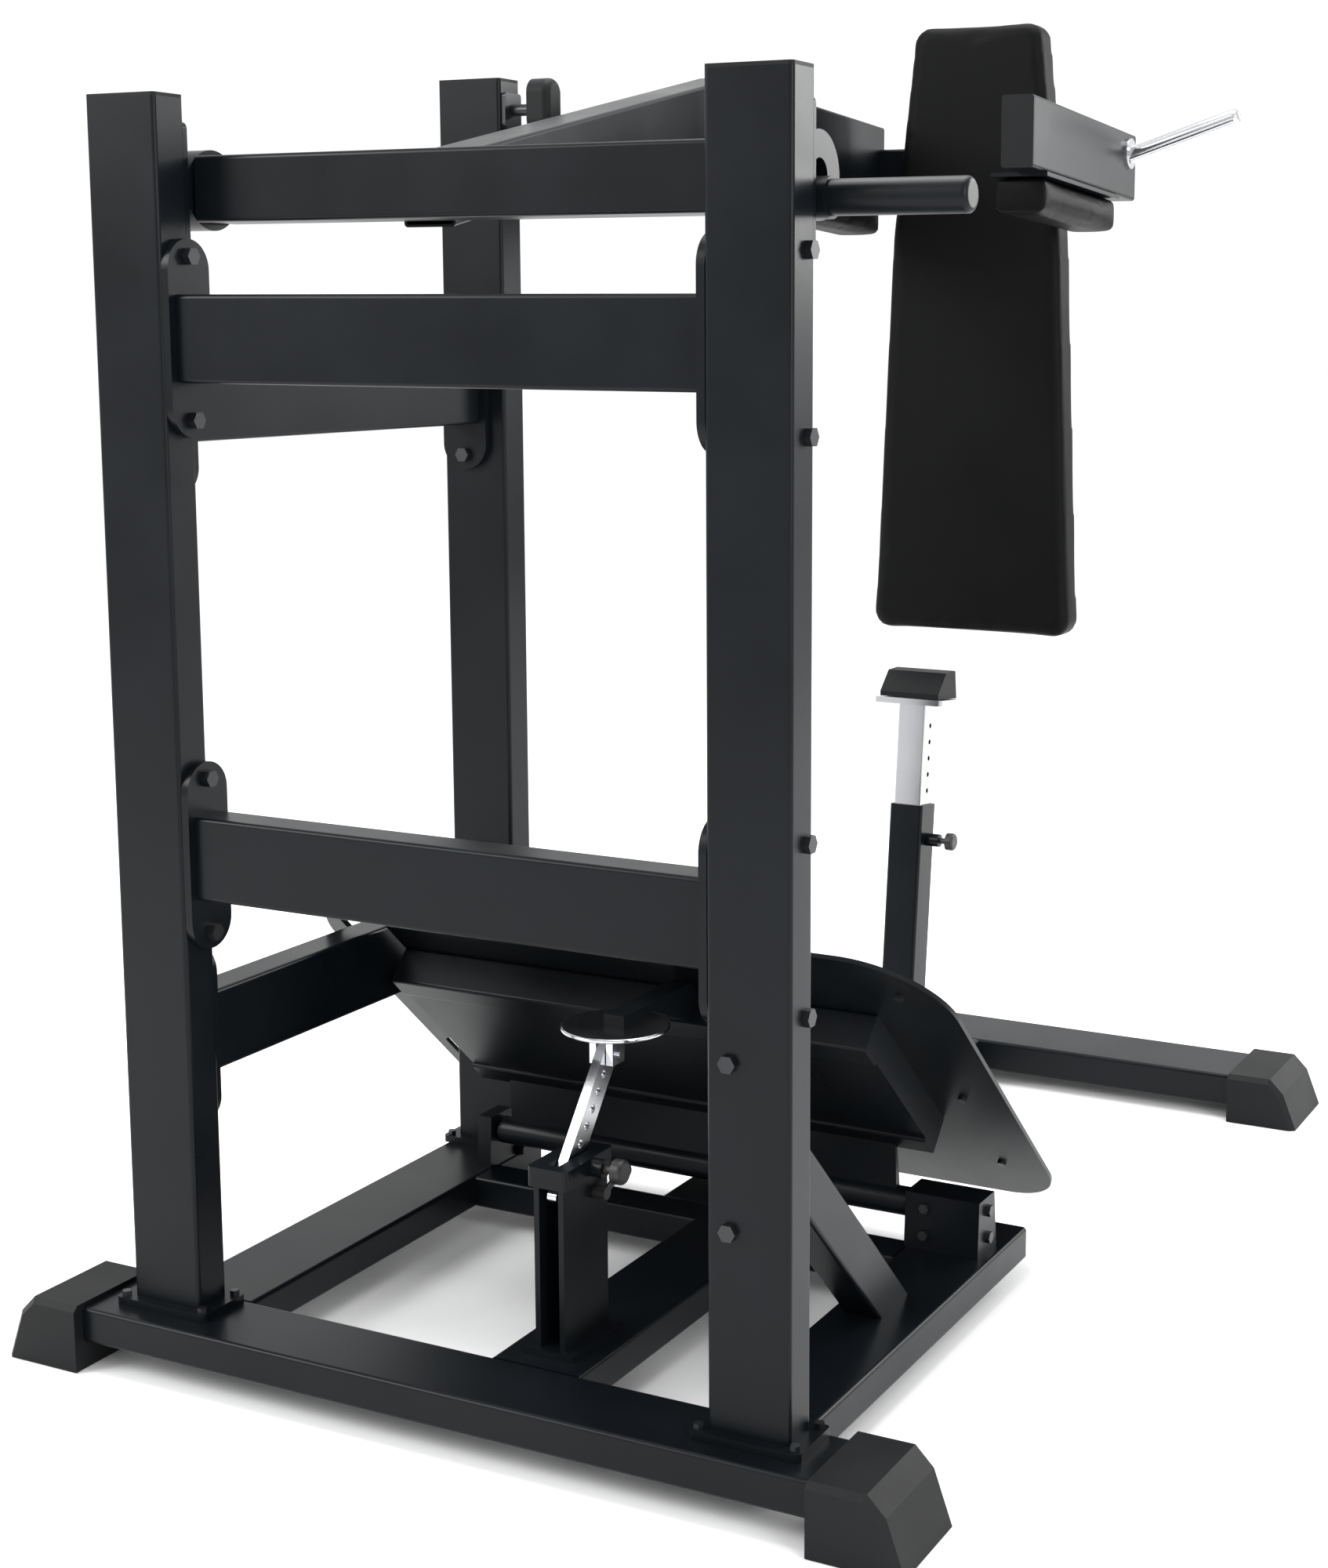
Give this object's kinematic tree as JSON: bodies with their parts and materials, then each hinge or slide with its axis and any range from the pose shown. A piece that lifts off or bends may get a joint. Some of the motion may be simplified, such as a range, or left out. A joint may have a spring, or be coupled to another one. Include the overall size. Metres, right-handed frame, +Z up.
{
  "type": "hack squat machine",
  "caption": "Pendulum hack squat machine with a steel post frame, swinging back pad and shoulder pads, and a tilting foot plate.",
  "frame": {"origin": "on the floor, at the middle of the footprint of the whole machine", "axes": "+X to the right seen from the front posts, +Y from the front posts towards the back pad, +Z up"},
  "size_m": [1.216, 1.7, 1.757],
  "materials": {
    "frame": "satin",
    "rubber": "matte",
    "upholstery": "satin",
    "chrome": "polished",
    "knob": "matte",
    "steel": "satin"
  },
  "bodies": {
    "base": {"adjuster_base_beam": "frame", "adjuster_collar": "frame", "adjuster_post": "frame", "base_plate_bolts": "steel", "clamp_lever": "knob", "cross_bar_bolts": "steel", "cross_base_tube": "frame", "diagonal_brace": "frame", "front_base_beam": "frame", "front_feet": "rubber", "hinge_bolts": "steel", "hinge_pins": "steel", "left_base_beam": "frame", "left_bearing": "frame", "left_front_post": "frame", "left_hinge_bracket": "frame", "left_rear_post": "frame", "limit_bracket": "steel", "limit_buffer": "rubber", "lower_cross_bar": "frame", "lower_side_bar": "frame", "post_base_plates": "frame", "post_caps": "rubber", "rear_base_beam": "frame", "rear_feet": "rubber", "right_base_beam": "frame", "right_bearing": "frame", "right_front_post": "frame", "right_hinge_bracket": "frame", "side_bar_bolts": "steel", "spine_base_beam": "frame", "stop_sleeve": "frame", "storage_horn": "frame", "upper_cross_bar": "frame", "upper_side_bar": "frame"},
    "swing_carriage": {"pivot_tube": "frame", "pivot_shaft": "steel", "swing_arm": "frame", "arm_joint_plate": "frame", "left_shoulder_tube": "frame", "right_shoulder_tube": "frame", "shoulder_tube_caps": "rubber", "shoulder_plates": "frame", "left_shoulder_pad": "upholstery", "right_shoulder_pad": "upholstery", "back_frame": "frame", "back_pad": "upholstery", "back_board": "frame", "left_handle": "chrome", "right_handle": "chrome"},
    "foot_platform": {"foot_plate": "frame", "foot_mat": "rubber", "mat_screws": "steel", "foot_frame": "frame", "adjuster_disc": "chrome"},
    "adjuster_strut": {"adjuster_bar": "chrome"},
    "adjuster_pull_pin": {"adjuster_pin": "knob"},
    "stop_slider": {"stop_post": "chrome", "stop_block": "rubber"},
    "stop_pull_pin": {"stop_pin": "knob"}
  },
  "joints": [
    {"name": "swing", "type": "hinge", "parent": "base", "child": "swing_carriage", "pos_m": [0, -0.69, 1.42], "axis": [1, 0, 0], "range_deg": [-2.3, 12]},
    {"name": "plate_tilt", "type": "hinge", "parent": "base", "child": "foot_platform", "pos_m": [0, -0.175, 0.128], "axis": [1, 0, 0], "range_deg": [-4, 0]},
    {"name": "strut_slide", "type": "slide", "parent": "base", "child": "adjuster_strut", "axis": [0, 0.6151, 0.7884], "range_m": [0, 0.035]},
    {"name": "adjuster_pin_pull", "type": "slide", "parent": "base", "child": "adjuster_pull_pin", "axis": [1, 0, 0], "range_m": [0, 0.008], "stiffness_N_per_m": 400},
    {"name": "stop_height", "type": "slide", "parent": "base", "child": "stop_slider", "axis": [0, 0.1045, 0.9945], "range_m": [-0.08, 0]},
    {"name": "stop_pin_pull", "type": "slide", "parent": "base", "child": "stop_pull_pin", "axis": [1, 0, 0], "range_m": [0, 0.008], "stiffness_N_per_m": 400}
  ],
  "couplings": [
    {"joint": "strut_slide", "follows": "plate_tilt", "m_per_rad": -0.476}
  ]
}
